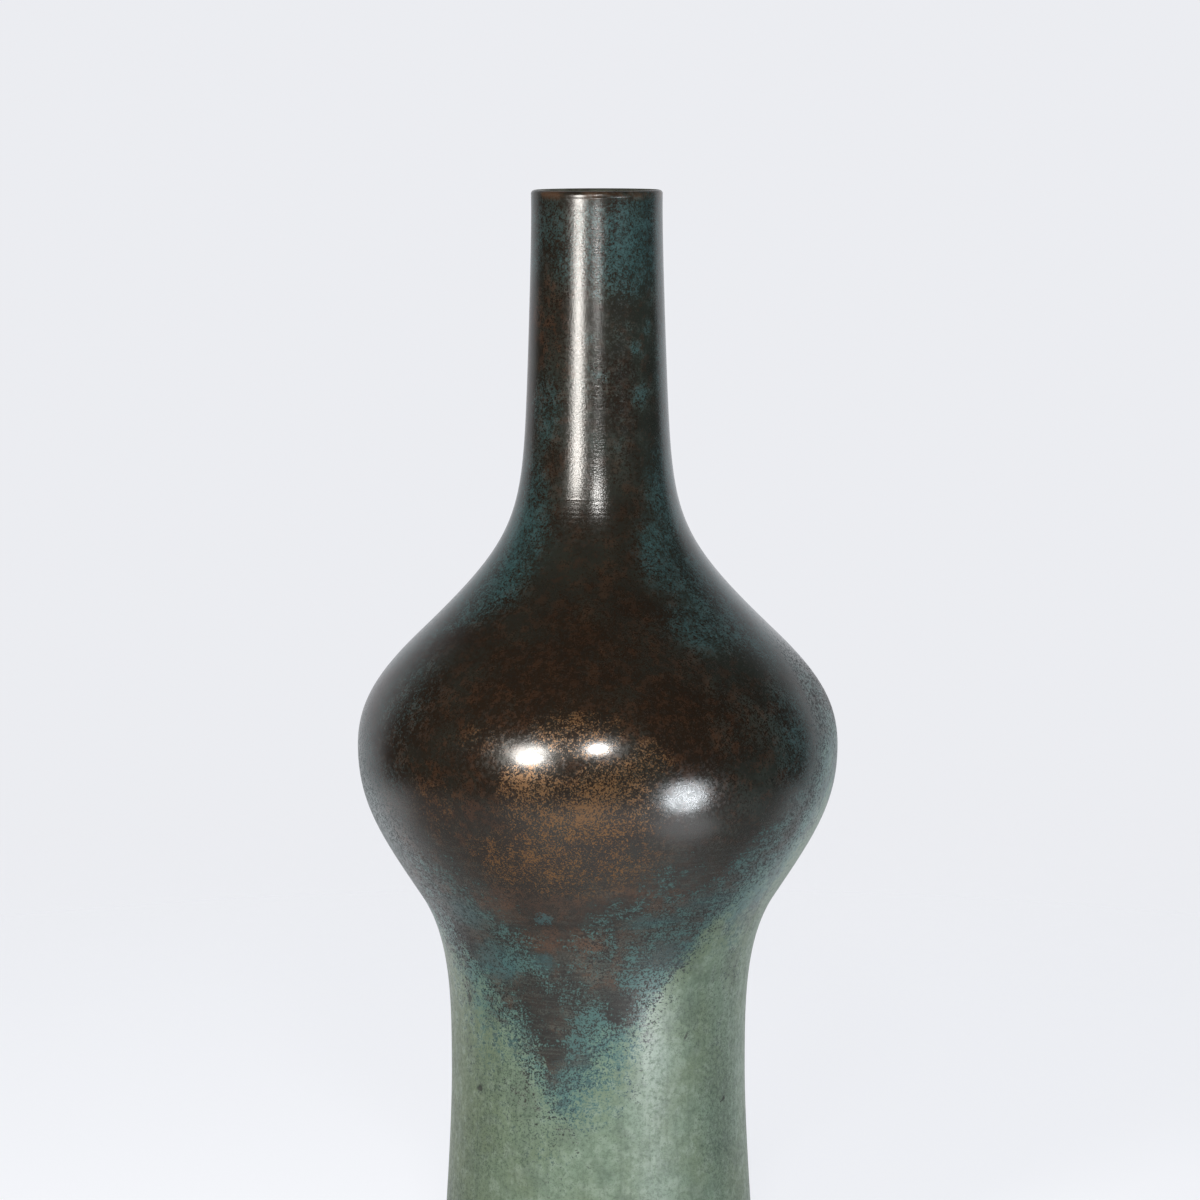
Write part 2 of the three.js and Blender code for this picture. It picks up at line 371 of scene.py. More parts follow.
# Patches on the surface: degrees round, millimetres up, half width, half height, strength. Blooms lay
# teal over the brown, umber is dark brown that has run below the edge, warm patches are redder, moss is
# darker green, and the tall moss patch at 54 degrees is partly darker patina and partly painted shade down
# the column's right side. Thin ones let green through, worn ones are rubbed down to the copper, and marks
# are small dark pits.
patches = {
    "Bloom": [
        (26, 260, 7, 9, 0.5), (4, 264, 6, 5, 0.4), (-16, 258, 6, 7, 0.26), (-48, 222, 5, 8, 0.26),
        (-74, 262, 5, 10, 0.36), (56, 262, 6, 9, 0.5), (-46, 264, 6, 7, 0.2), (84, 236, 6, 36, 0.4),
        (68, 202, 7, 12, 0.45), (-70, 186, 12, 22, 0.58), (45, 187, 8, 10, 0.35), (76, 176, 15, 24, 0.5),
        (-98, 176, 18, 24, 0.5), (42, 173, 9, 6, 0.3), (-62, 156, 12, 14, 0.2), (60, 145, 11, 16, 0.28),
        (-58, 132, 8, 12, 0.18), (-80, 128, 15, 18, 0.5), (34, 110, 6, 2, 0.5), (-17, 107, 2, 1.6, 0.65),
        (-46, 106, 5, 4, 0.65), (18, 106, 6, 1.6, 0.6), (23, 97, 7, 4, 0.4), (-20, 95, 3, 2.2, 0.65),
        (-38, 94, 6, 4, 0.75), (-34, 76, 5, 4, 0.35), (5, 74, 5, 4, 0.6), (-4, 65, 7, 7, 0.6),
        (150, 235, 10, 22, 0.4), (-140, 205, 14, 18, 0.4), (170, 165, 22, 14, 0.4),
        (-125, 150, 16, 14, 0.5),
    ],
    "Umber": [
        (6, 85, 3.5, 3.5, 0.35), (-22, 84, 4, 6, 0.25), (-18, 74, 2.4, 3.4, 0.4), (-11, 88, 5, 4, 0.15),
        (-28, 87, 3, 3, 0.2), (-52, 99, 5, 4, 0.2), (-2, 69, 3, 3, 0.25),
    ],
    "Warm": [
        (-18, 101.5, 5, 3, 0.8), (-5, 101.5, 6, 2.6, 0.8), (12, 99, 6, 3, 0.3), (-30, 110, 6, 2.4, 0.65),
        (11, 114, 5, 2, 0.65), (-16, 65.5, 1, 1, 0.7), (-16, 111, 18, 4, 0.5), (17, 112, 12, 4, 0.45),
        (-14, 82, 3, 4, 0.2),
    ],
    # darker green patches; the tall one at 54 degrees, 56 mm up, is also painted shade down the column's
    # right side
    "MossAndShade": [
        (-42, 68, 9, 8, 0.5), (-50, 50, 7, 8, 0.5), (-26, 52, 6, 5, 0.35), (54, 56, 6, 16, 0.6),
        (40, 80, 6, 7, 0.35), (-62, 30, 8, 9, 0.4), (20, 26, 9, 9, 0.4), (140, 60, 14, 16, 0.5),
        (-120, 50, 12, 14, 0.5),
    ],
    "Thin": [
        (-3, 82, 2.5, 2, 0.4), (-8, 76, 2, 2.5, 0.3), (11, 91, 2.5, 2, 0.4), (-33, 94, 3, 2, 0.3),
    ],
    "Worn": [
        (-5, 152, 8, 4, 0.6), (-15, 141, 6, 4, 0.9), (4, 141, 6.5, 4, 1), (-4, 133, 13, 6, 0.95),
        (-8, 122, 18, 7, 0.6), (-28, 150, 6, 3, 0.25), (-42, 132, 9, 8, 0.22), (12, 146, 5, 4, 0.4),
        (110, 140, 18, 9, 0.6), (-135, 136, 20, 9, 0.7), (165, 128, 16, 10, 0.5),
    ],
    "Mark": [
        (-57, 83, 0.6, 1.1, 1), (-54, 76, 0.4, 1.6, 0.7), (55, 58, 0.7, 0.5, 1), (34, 76, 0.5, 0.4, 0.8),
        (-52, 62, 1.2, 1.2, 0.5), (44, 139, 0.4, 0.4, 0.6), (130, 60, 0.7, 0.6, 0.9),
    ],
}
# a patch's edge wanders by noise, over this many millimetres, and it is full this share of the way in
patchEdge = {"noise": (0.15, 5, 0.7), "wander": 7, "full": 0.8}


def makePatches():
    group, given, out = newGroup("patches", [("Position", vectorSocket, None)],
                                 [(name, valueSocket) for name in patches])
    ragged = noise(group, given["Position"], *patchEdge["noise"], colour=True)
    ragged = vectorCalc(group, "SUBTRACT", ragged, (0.5, 0.5, 0.5))
    ragged = vectorCalc(group, "SCALE", ragged, patchEdge["wander"])
    wandering = vectorCalc(group, "ADD", given["Position"], ragged)
    for name, places in patches.items():
        total = 0.0
        for azimuth, height, halfWidth, halfHeight, strength in places:
            radius = radiusOn(outerSkin, height / metresToMm) * metresToMm
            turn = math.radians(azimuth)
            centre = (radius * math.sin(turn), -radius * math.cos(turn), height)
            place = group.nodes.new("ShaderNodeMapping")
            place.vector_type = "TEXTURE"
            place.inputs["Location"].default_value = centre
            place.inputs["Scale"].default_value = (halfWidth * 2, halfWidth * 2, halfHeight * 2)
            group.links.new(wandering, place.inputs["Vector"])
            ball = group.nodes.new("ShaderNodeTexGradient")
            ball.gradient_type = "SPHERICAL"
            group.links.new(place.outputs[0], ball.inputs[0])
            inside = smooth(group, ball.outputs["Fac"], 0, patchEdge["full"])
            total = calc(group, "MAXIMUM", calc(group, "MULTIPLY", inside, strength), total)
        group.links.new(total, out[name])
    return group


# Colours of the patina.
patinaTints = {
    "celadon": tint(126, 148, 128),
    "olive": tint(115, 130, 101),
    "mist": tint(162, 178, 163),
    "moss": tint(64, 82, 68),
    "verdigris": tint(92, 129, 122),
    "teal": tint(62, 104, 108),
    "deepTeal": tint(54, 81, 82),
    "runBrown": tint(50, 45, 39),
    "ash": tint(96, 106, 100),
    "bulbBrown": tint(37, 27, 19),
    "umber": tint(29, 27, 24),
    "russet": tint(108, 78, 58),
    "rust": tint(72, 48, 33),
    "pine": tint(42, 48, 43),
    "soot": tint(24, 21, 18),
    "copper": tint(142, 104, 64),
}
# Layers over the grounds of green, teal and brown: the tint of each, and how much of it is laid down,
# which is 1 where the code below changes it over the vase.
# the moss patches layer carries painted shade on the column's right side as well as darker green
patinaLayers = {
    "oliveClouds": ("olive", 0.75), "oliveSide": ("olive", 0.6), "mistClouds": ("mist", 0.4),
    "mossStreaks": ("moss", 0.3), "mossClouds": ("moss", 0.3), "mossGrain": ("moss", 0.4),
    "mistGrain": ("mist", 0.2), "mossAndShadePatches": ("moss", 0.5), "deepClouds": ("deepTeal", 0.8),
    "tealMottle": ("teal", 0.6), "tealRim": ("teal", 0.75), "deepGaps": ("deepTeal", 0.5),
    "russetClouds": ("russet", 1), "umberRuns": ("umber", 0.85), "ashBrushing": ("ash", 1),
    "warmPatches": ("russet", 0.65), "pineGrain": ("pine", 1), "rustGrain": ("rust", 1),
    "neckAsh": ("ash", 0.3), "sootGrain": ("soot", 1), "blooms": ("teal", 0.6), "specks": ("soot", 0.8),
    "marks": ("soot", 0.8), "bareCopper": ("copper", 0.6), "rubbedEdges": ("russet", 1),
}
# Zones that the patina changes over: millimetres above the brown zone's edge, millimetres up the vase,
# degrees round it from the front, and the strength over which a patch comes up. softBrown is counted from
# the run of brown, both ways.
edgeZones = {"teal": (-23, -2), "blueTeal": (-14, 2), "brokenBrown": (-22, 6), "closedBrown": (18, 48),
             "fullBrown": (16, 46), "specks": (-28, -2), "darkGaps": (-6, 12), "wax": (-46, -10),
             "polish": (6, 36), "stray": (-40, -20)}
heightZones = {"rubbedFoot": (0.3, 1.8), "softBloom": (110, 150), "waxedBulb": (128, 142),
               "lessRust": (150, 168), "pine": (170, 195), "neckGloss": (185, 205),
               "neckRelief": (185, 210), "neck": (195, 225), "neckCloud": (200, 232),
               "darkMouth": (250, 262), "dullMouth": (254, 266), "smoothLip": (268, 271),
               "rubbedLip": (270.4, 272.4)}
turnZones = {"oliveSide": (-70, -15), "neckLeft": (-40, -5), "neckCloud": (-35, 5), "lessRusset": (2, 16),
             "narrowFringe": (14, 28), "rightFlank": (18, 46), "narrowEnd": (36, 50),
             "wideFringe": (42, 56), "softBrown": (45, 66), "flankEnd": (100, 140)}
patchZone = (0, 0.3)
# How far the right flank draws the zones together or apart, where the run of brown is in degrees, and how
# much of the fringe and of bare metal shows.
patinaMix = {"closing": 1.3, "narrowing": 1.3, "widening": 0.45, "runTurn": -10, "fringe": 0.88,
             "metal": 0.5}
patinaGloss = {"green": 0.45, "edge": 0.35, "brown": 0.17, "metal": 0.34, "grains": (0.09, 0.06),
               "specks": 0.6, "mouth": 0.04}


# The whole patina: brown above, green below, teal where they meet, all of it stippled.
def makeVasePatina(brownEdgeGroup, patchGroup):
    group, _, out = newGroup("vase patina", [], [
        ("Colour", colourSocket), ("Metal", valueSocket), ("Roughness", valueSocket), ("Wax", valueSocket),
        ("Relief", valueSocket)])
    place = useGroup(group, surfacePlace).outputs
    azimuth, height = place["Azimuth"], place["Height"]
    grain = useGrain(group, place)
    edge = useGroup(group, brownEdgeGroup, Azimuth=azimuth, Height=height).outputs["Above edge"]
    patch = useGroup(group, patchGroup, Position=place["Position"]).outputs

    def add(a, b):
        return calc(group, "ADD", a, b)

    def less(a, b):
        return calc(group, "SUBTRACT", a, b)

    def larger(a, b):
        return calc(group, "MAXIMUM", a, b)

    def product(*factors):
        total = factors[0]
        for factor in factors[1:]:
            total = calc(group, "MULTIPLY", total, factor)
        return total

    def ease(value, low, high, start=0.0, end=1.0):
        return smooth(group, value, low, high, start, end)

    def above(distance, zone, start=0.0, end=1.0):
        return ease(distance, *edgeZones[zone], start, end)

    def up(zone, start=0.0, end=1.0):
        return ease(height, *heightZones[zone], start, end)

    def aside(zone, start=0.0, end=1.0):
        return ease(azimuth, *turnZones[zone], start, end)

    def swing(value, **depths):
        # a value moved up and down by grain
        for name, depth in depths.items():
            value = add(value, product(less(grain[name], 0.5), depth))
        return value

    def stipple(cover, softness, speck=0.6, grit=0.7):
        # a cover from 0 to 1 broken into grains
        return ease(swing(cover, Speck=speck, Grit=grit), less(0.5, softness), add(0.5, softness))

    def lay(colour, layer, *factors):
        tintName, share = patinaLayers[layer]
        return blendColour(group, product(*factors, share), colour, patinaTints[tintName])

    # on the right flank the brown closes up faster and the fringe is narrow, and further round it is wide
    flankEnd = aside("flankEnd", 1, 0)
    rightFlank = product(aside("rightFlank"), flankEnd)
    closing = product(edge, add(1, product(rightFlank, patinaMix["closing"])))
    narrowing = product(aside("narrowFringe"), aside("narrowEnd", 1, 0), patinaMix["narrowing"])
    widening = product(aside("wideFringe"), flankEnd, patinaMix["widening"])
    nearing = product(edge, add(1, narrowing), less(1, widening))

    # green: olive clouds, pale bloom, dark specks, runs and streaks
    green = lay(patinaTints["celadon"], "oliveClouds", grain["Cloud"])
    green = lay(green, "oliveSide", aside("oliveSide", 1, 0))
    green = lay(green, "mistClouds", ease(grain["Mottle"], 0.4, 1))
    green = lay(green, "mossStreaks", grain["Streak"])
    green = lay(green, "mossClouds", ease(grain["Blotch"], 0.55, 0.95))
    green = lay(green, "mossGrain", stipple(ease(grain["Mottle"], 0, 0.8, 0.5, 0.2), softness=0.26, grit=1))
    mistCover = ease(grain["Blotch"], 0, 0.8, 0.1, 0.3)
    green = lay(green, "mistGrain", stipple(mistCover, softness=0.3, speck=-0.9))
    # darker green patches, one of which is also painted shade down the column's right side
    mossAndShadeCover = stipple(swing(patch["MossAndShade"], Mottle=0.5), softness=0.4)
    green = lay(green, "mossAndShadePatches", mossAndShadeCover, ease(patch["MossAndShade"], *patchZone))

    # teal fringe, without stray grains of it far below the edge
    fringe = lay(patinaTints["verdigris"], "deepClouds", ease(grain["Blotch"], 0.25, 0.85))
    fringe = lay(fringe, "tealMottle", ease(grain["Mottle"], 0.3, 0.8))
    fringe = lay(fringe, "tealRim", above(edge, "blueTeal"))
    fringe = lay(fringe, "deepGaps", above(edge, "darkGaps"))
    fringeCover = add(above(nearing, "teal", 0, 1.15), above(nearing, "darkGaps", 0, 0.6))
    fringeCover = swing(fringeCover, Mottle=0.5, Cloud=0.5)
    stray = above(nearing, "stray")
    fringeShare = product(stipple(fringeCover, softness=0.45), stray, patinaMix["fringe"])
    colour = blendColour(group, fringeShare, green, fringe)

    # brown: light where it has run down, dark on the bulb and neck, with rust, greenish and sooty grain
    fullBrown = above(closing, "fullBrown")
    thinBrown = less(1, fullBrown)
    brown = blendColour(group, fullBrown, patinaTints["runBrown"], patinaTints["bulbBrown"])
    russet = stipple(ease(grain["Blotch"], 0.45, 0.95, 0, 0.75), softness=0.35)
    brown = lay(brown, "russetClouds", russet, thinBrown, aside("lessRusset", 0.55, 0.15))
    run = ease(patch["Umber"], *patchZone)
    brown = lay(brown, "umberRuns", run)
    brushed = stipple(ease(grain["Brushing"], 0.1, 0.9, 0.1, 0.65), softness=0.22)
    brown = lay(brown, "ashBrushing", brushed, thinBrown, ease(run, 0, 1, 0.75, 0.5))
    warm = stipple(swing(patch["Warm"], Mottle=0.4), softness=0.3)
    brown = lay(brown, "warmPatches", warm, ease(patch["Warm"], *patchZone))
    greenish = add(ease(grain["Cloud"], 0, 1, 0.15, 0.65), product(rightFlank, 0.4))
    greenish = stipple(add(greenish, up("pine", 0, 0.35)), softness=0.45)
    brown = lay(brown, "pineGrain", greenish, fullBrown, ease(rightFlank, 0, 1, 0.65, 0.95))
    onNeck = up("neck")
    neckLeft = product(onNeck, aside("neckLeft", 1, 0))
    rusty = add(up("lessRust", 0.6, 0.4), product(neckLeft, 0.4))
    rusty = product(rusty, up("darkMouth", 1, 0.4))
    rust = stipple(ease(grain["Mottle"], 0.3, 1, 0.1, 0.7), softness=0.25)
    brown = lay(brown, "rustGrain", rust, fullBrown, rusty)
    ashy = larger(less(onNeck, product(neckLeft, 0.7)), product(rightFlank, fullBrown, 0.5))
    ash = stipple(ease(grain["Blotch"], 0, 1, 0.15, 0.5), softness=0.25)
    brown = lay(brown, "neckAsh", ash, ashy)
    soot = stipple(ease(grain["Blotch"], 0, 1, 0.6, 0.2), softness=0.25)
    brown = lay(brown, "sootGrain", soot, add(0.45, product(thinBrown, 0.4)))

    # its edge is crisp beside the run at the front and softer further round
    cover = add(above(closing, "brokenBrown", 0, 0.72), above(closing, "closedBrown", 0, 0.95))
    cover = less(add(cover, patch["Umber"]), patch["Thin"])
    cover = swing(cover, Blotch=0.4, Mottle=0.45, Brushing=0.5)
    fromRun = calc(group, "ABSOLUTE", less(azimuth, patinaMix["runTurn"]))
    softness = ease(fromRun, *turnZones["softBrown"], 0.24, 0.55)
    brownShare = product(stipple(cover, softness, speck=0.5), stray)
    colour = blendColour(group, brownShare, colour, brown)

    # teal blooms on the brown, dark specks that thin out down the green, and pits
    neckCloud = product(up("neckCloud"), ease(grain["Blotch"], 0.45, 1, 0, 0.3), aside("neckCloud"))
    bloomCover = larger(patch["Bloom"], neckCloud)
    bloom = stipple(swing(bloomCover, Blotch=0.35, Mottle=0.35), up("softBloom", 0.3, 0.6))
    colour = lay(colour, "blooms", bloom, ease(bloomCover, *patchZone))
    specks = product(stipple(above(edge, "specks", -0.36, 0.38), softness=0.15), thinBrown)
    colour = lay(colour, "specks", specks)
    colour = lay(colour, "marks", ease(patch["Mark"], 0.2, 0.5))

    # bare copper glints through where the bulb is rubbed
    worn = swing(product(patch["Worn"], 0.5), Mottle=0.35, Blotch=0.2)
    worn = stipple(worn, softness=0.32, speck=0.45, grit=0.9)
    worn = product(worn, ease(patch["Worn"], 0.05, 0.4), brownShare)
    colour = lay(colour, "bareCopper", worn)

    # the lip and the foot's edge are rubbed brown
    rubbed = larger(up("rubbedLip"), up("rubbedFoot", 1, 0))
    colour = lay(colour, "rubbedEdges", rubbed, ease(grain["Blotch"], 0.2, 0.8, 0.05, 0.5))

    # wax is thickest on the brown and thins out down the green
    gloss = above(edge, "wax", patinaGloss["green"], patinaGloss["edge"])
    gloss = blendValue(group, above(closing, "polish"), gloss, patinaGloss["brown"])
    dulling = up("neckGloss", *patinaGloss["grains"])
    gloss = add(gloss, product(ease(grain["Speck"], 0.5, 0.9), dulling))
    gloss = add(gloss, up("dullMouth", 0, patinaGloss["mouth"]))
    gloss = blendValue(group, specks, gloss, patinaGloss["specks"])
    gloss = blendValue(group, worn, gloss, patinaGloss["metal"])
    wax = product(ease(patch["Worn"], 0.05, 0.5), up("waxedBulb"))
    relief = product(grain["Relief"], up("neckRelief", 1, 3.2), up("smoothLip", 1, 0.3))
    results = {"Colour": colour, "Metal": product(worn, patinaMix["metal"]), "Roughness": gloss, "Wax": wax,
               "Relief": relief}
    for name, result in results.items():
        group.links.new(result, out[name])
    return group


surfacePlace = makeSurfacePlace()
patinaGrain = makePatinaGrain()
vasePatina = makeVasePatina(makeBrownEdge(), makePatches())
print("patina groups made")


def newMaterial(name):
    material = bpy.data.materials.new(name)
    material.use_nodes = True
    return material, material.node_tree, material.node_tree.nodes["Principled BSDF"]


def addBump(tree, shader, relief, distance):
    bump = tree.nodes.new("ShaderNodeBump")
    bump.inputs["Distance"].default_value = distance
    tree.links.new(relief, bump.inputs["Height"])
    tree.links.new(bump.outputs["Normal"], shader.inputs["Normal"])


# Gloss comes from the patina itself, and from wax where it is rubbed.
patinaFinish = {"waxRoughness": 0.15, "reliefDepth": 0.000012}


def makePatinaMaterial():
    material, tree, shader = newMaterial("waxed patina")
    patina = useGroup(tree, vasePatina).outputs
    tree.links.new(patina["Colour"], shader.inputs["Base Color"])
    tree.links.new(patina["Metal"], shader.inputs["Metallic"])
    tree.links.new(patina["Roughness"], shader.inputs["Roughness"])
    tree.links.new(patina["Wax"], shader.inputs["Coat Weight"])
    shader.inputs["Coat Roughness"].default_value = patinaFinish["waxRoughness"]
    addBump(tree, shader, patina["Relief"], patinaFinish["reliefDepth"])
    return material


insideFinish = {"dull": tint(34, 26, 20), "worn": tint(70, 46, 34), "mouth": tint(122, 126, 112),
                "mouthReach": (258, 271), "mouthCover": (0.6, 1), "metallic": 0.4, "roughness": 0.62,
                "reliefDepth": 0.00005}


def makeInsideMaterial():
    material, tree, shader = newMaterial("dull inside")
    place = useGroup(tree, surfacePlace).outputs
    grain = useGrain(tree, place)
    brown = blendColour(tree, grain["Brushing"], insideFinish["dull"], insideFinish["worn"])
    paling = calc(tree, "MULTIPLY", smooth(tree, place["Height"], *insideFinish["mouthReach"]),
                  smooth(tree, grain["Mottle"], 0, 1, *insideFinish["mouthCover"]))
    tree.links.new(blendColour(tree, paling, brown, insideFinish["mouth"]), shader.inputs["Base Color"])
    shader.inputs["Metallic"].default_value = insideFinish["metallic"]
    shader.inputs["Roughness"].default_value = insideFinish["roughness"]
    addBump(tree, shader, grain["Relief"], insideFinish["reliefDepth"])
    return material


# Turned copper, toned brown, with rings from the lathe.
plateFinish = {"copper": tint(142, 92, 66), "tarnish": tint(74, 50, 38), "rings": (1.6, 3, 0.6),
               "blotchShare": 0.7, "ringShare": 0.5, "tarnishReach": (0.3, 0.9), "metallic": 0.85,
               "roughness": (0.42, 0.65), "reliefDepth": 0.00002}


def makePlateMaterial():
    material, tree, shader = newMaterial("turned copper")
    place = useGroup(tree, surfacePlace).outputs
    grain = useGrain(tree, place)
    flat = vectorCalc(tree, "MULTIPLY", place["Position"], (1, 1, 0))
    along = tree.nodes.new("ShaderNodeCombineXYZ")
    tree.links.new(vectorCalc(tree, "DISTANCE", flat, (0, 0, 0)), along.inputs[0])
    rings = noise(tree, along.outputs[0], *plateFinish["rings"])
    tarnish = calc(tree, "ADD", calc(tree, "MULTIPLY", grain["Blotch"], plateFinish["blotchShare"]),
                   calc(tree, "MULTIPLY", rings, plateFinish["ringShare"]))
    toned = smooth(tree, tarnish, *plateFinish["tarnishReach"])
    colour = blendColour(tree, toned, plateFinish["copper"], plateFinish["tarnish"])
    tree.links.new(colour, shader.inputs["Base Color"])
    tree.links.new(blendValue(tree, toned, *plateFinish["roughness"]), shader.inputs["Roughness"])
    shader.inputs["Metallic"].default_value = plateFinish["metallic"]
    addBump(tree, shader, rings, plateFinish["reliefDepth"])
    return material


# Filler metals: golden braze and grey solder, both a little lumpy.
fillerFinish = {
    "braze": {"fresh": tint(176, 142, 82), "dull": tint(104, 80, 46), "roughness": (0.36, 0.6),
              "metallic": 0.9, "reliefDepth": 0.00008},
    "solder": {"fresh": tint(164, 164, 160), "dull": tint(108, 108, 106), "roughness": (0.3, 0.55),
               "metallic": 0.9, "reliefDepth": 0.00006},
}


def makeFillerMaterial(name):
    finish = fillerFinish[name]
    material, tree, shader = newMaterial(name)
    grain = useGrain(tree, useGroup(tree, surfacePlace).outputs)
    colour = blendColour(tree, grain["Mottle"], finish["fresh"], finish["dull"])
    tree.links.new(colour, shader.inputs["Base Color"])
    tree.links.new(blendValue(tree, grain["Mottle"], *finish["roughness"]), shader.inputs["Roughness"])
    shader.inputs["Metallic"].default_value = finish["metallic"]
    addBump(tree, shader, grain["Mottle"], finish["reliefDepth"])
    return material


waxedPatina = makePatinaMaterial()
dullInside = makeInsideMaterial()
turnedCopper = makePlateMaterial()
fillers = {name: makeFillerMaterial(name) for name in fillerFinish}
print("materials made")


# The copper sections and rings.
lapFit = {"length": highEnd("belly_shell") - seams["bulb"], "gap": 0.00012, "step": 0.0025, "rings": 3}


# What the tools left on the outside: a fine groove at the neck seam with ripples from planishing below
# it, and a broken edge under the lip.
toolMarks = {"grooveDepth": 0.00002, "grooveWidth": 0.00018, "rippleDepth": 0.000005, "ripplePitch": 0.0011,
             "rippleRun": 0.006, "rippleStep": 0.00016, "lipEdge": 0.00004, "lipEdgeRun": 0.0002}


def markedRadius(height):
    radius = radiusOn(outerSkin, height)
    below = seams["neck"] - height
    radius -= toolMarks["grooveDepth"] * math.exp(-(below / toolMarks["grooveWidth"]) ** 2)
    if 0 < below < toolMarks["rippleRun"]:
        fade = math.sin(math.pi * below / toolMarks["rippleRun"])
        radius += toolMarks["rippleDepth"] * fade * math.sin(2 * math.pi * below / toolMarks["ripplePitch"])
    lipReach = 1 - (seams["mouth"] - height) / toolMarks["lipEdgeRun"]
    if 0 < lipReach <= 1:
        radius -= toolMarks["lipEdge"] * lipReach ** 2
    return radius


def outsideRun(low, high):
    heights = heightSteps(low, high, turning["outsideStep"])
    rippled = seams["neck"] - toolMarks["rippleRun"]
    if low < rippled < high:
        heights = [h for h in heights if h < rippled] + heightSteps(rippled, high, toolMarks["rippleStep"])
    return [(markedRadius(h), h) for h in heights]


def insideRun(low, high):
    return [(radiusOn(innerSkin, h), h) for h in heightSteps(low, high, turning["insideStep"])][::-1]


def lapRadius(seam, height):
    return min(radiusOn(innerSkin, height), radiusOn(innerSkin, seam)) - lapFit["gap"]


def lapRun(seam):
    heights = [seam + lapFit["length"] * i / lapFit["rings"] for i in range(lapFit["rings"] + 1)]
    up = [(lapRadius(seam, h), h) for h in heights]
    down = [(radius - sheetThickness, h) for radius, h in reversed(up)]
    return up + down


def makeSection(node, low, high):
    runs = [(outsideRun(low, high), 0), (lapRun(high), 1), (insideRun(low, high - lapFit["step"]), 1)]
    standFor(turnSection(node + "_fine", runs, [waxedPatina, dullInside]), node)


makeSection("lower_body", seams["foot"], seams["waist"])
makeSection("belly_shell", seams["waist"], seams["bulb"])
makeSection("shoulder_shell", seams["bulb"], seams["neck"])
neckRuns = [(outsideRun(seams["neck"], seams["mouth"]), 0), (insideRun(seams["neck"], seams["mouth"]), 1)]
standFor(turnSection("neck_tube_fine", neckRuns, [waxedPatina, dullInside]), "neck_tube")

mouthRing = {"lipSteps": 20, "skirtWall": 0.0005, "skirtEnd": lowEnd("mouth_ring"), "tuckSteps": 6,
             "tuckRise": 0.4}


def makeMouthRing():
    seat = seams["mouth"]
    lipOuter = widestRadius("mouth_ring")
    skirtEnd = mouthRing["skirtEnd"]
    skirtRadius = min(radiusOn(innerSkin, skirtEnd), radiusOn(innerSkin, seat)) - lapFit["gap"]
    bore = skirtRadius - mouthRing["skirtWall"]
    middle, halfWidth, rise = (lipOuter + bore) / 2, (lipOuter - bore) / 2, vaseTop - seat
    shoulder = rise * mouthRing["tuckRise"]
    lip = []
    for i in range(mouthRing["tuckSteps"]):
        share = i / mouthRing["tuckSteps"]
        lip.append((lipOuter - toolMarks["lipEdge"] * (1 - share) ** 2, seat + shoulder * share))
    for i in range(mouthRing["lipSteps"] + 1):
        angle = math.pi * i / mouthRing["lipSteps"]
        height = seat + shoulder + (rise - shoulder) * math.sin(angle)
        lip.append((middle + halfWidth * math.cos(angle), height))
    skirt = [(bore, skirtEnd), (skirtRadius, skirtEnd), (skirtRadius, seat)]
    crest = len(lip) - mouthRing["lipSteps"] // 2
    runs = [(lip[:crest], 0), (lip[crest:] + skirt, 1)]
    standFor(turnSection("mouth_ring_fine", runs, [waxedPatina, dullInside]), "mouth_ring")


footRing = {"edgeRound": 0.0008, "edgeSteps": 6, "ledge": lowEnd("base_plate"), "ledgeWidth": 0.0022}


def makeFootRing():
    seam, edgeRound = seams["foot"], footRing["edgeRound"]
    lapTop = seam + lapFit["length"]
    bore = lapRadius(seam, lapTop) - sheetThickness
    ledgeRadius = bore - footRing["ledgeWidth"]
    edgeCentre = radiusOn(outerSkin, edgeRound) - edgeRound
    edge = []
    for i in range(footRing["edgeSteps"] + 1):
        angle = math.pi / 2 * (i / footRing["edgeSteps"] - 1)
        edge.append((edgeCentre + edgeRound * math.cos(angle), edgeRound + edgeRound * math.sin(angle)))
    lap = [(lapRadius(seam, h), h) for h in (seam, lapTop)]
    inner = [(bore, lapTop), (bore, footRing["ledge"]), (ledgeRadius, footRing["ledge"]), (ledgeRadius, 0)]
    runs = [(edge + outsideRun(edgeRound, seam)[1:], 0), (lap + inner, 1)]
    standFor(turnSection("foot_ring_fine", runs, [waxedPatina, dullInside]), "foot_ring")


basePlate = {"edgeEase": 0.0002}


def makeBasePlate():
    low, high = lowEnd("base_plate"), highEnd("base_plate")
    radius, ease = widestRadius("base_plate"), basePlate["edgeEase"]
    rim = [(radius - ease, low), (radius, low + ease), (radius, high - ease), (radius - ease, high)]
    runs = [([(0, low)] + rim + [(0, high)], 0)]
    standFor(turnSection("base_plate_fine", runs, [turnedCopper]), "base_plate")


makeMouthRing()
makeFootRing()
makeBasePlate()
for name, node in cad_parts.items():
    for filler, material in fillers.items():
        if name.endswith(filler):
            node.data.materials.clear()
            node.data.materials.append(material)
print("pieces made")

# Floor, world and lamps. The floor and the world are pale to the eye and in reflections, but the side
# that the vase faces is a dim room, with two pools of light on the floor: place, reach and glow.
floorLook = {"radius": 0.7, "sides": 96, "drop": 0.0002, "tone": (0.36, 0.37, 0.38, 1), "roughness": 0.7,
             "shine": 0.1, "glow": (0.55, 0.76), "lampLit": (-0.06, -0.18, 0), "litReach": (0.1, 0.28),
             "mirrored": (0.1, 1.0), "mirroredReach": (-0.02, 0.14), "rimFade": (0.3, 0.68)}
floorPools = [((0.03, -0.2, 0), (0.06, 0.24), 0.68), ((0.15, -0.175, 0), (0.03, 0.1), 2.3)]
paleTone = (0.835, 0.845, 0.88, 1)


def pathMask(tree, names):
    path = tree.nodes.new("ShaderNodeLightPath").outputs
    total = path[names[0]]
    for name in names[1:]:
        total = calc(tree, "MAXIMUM", total, path[name])
    return total


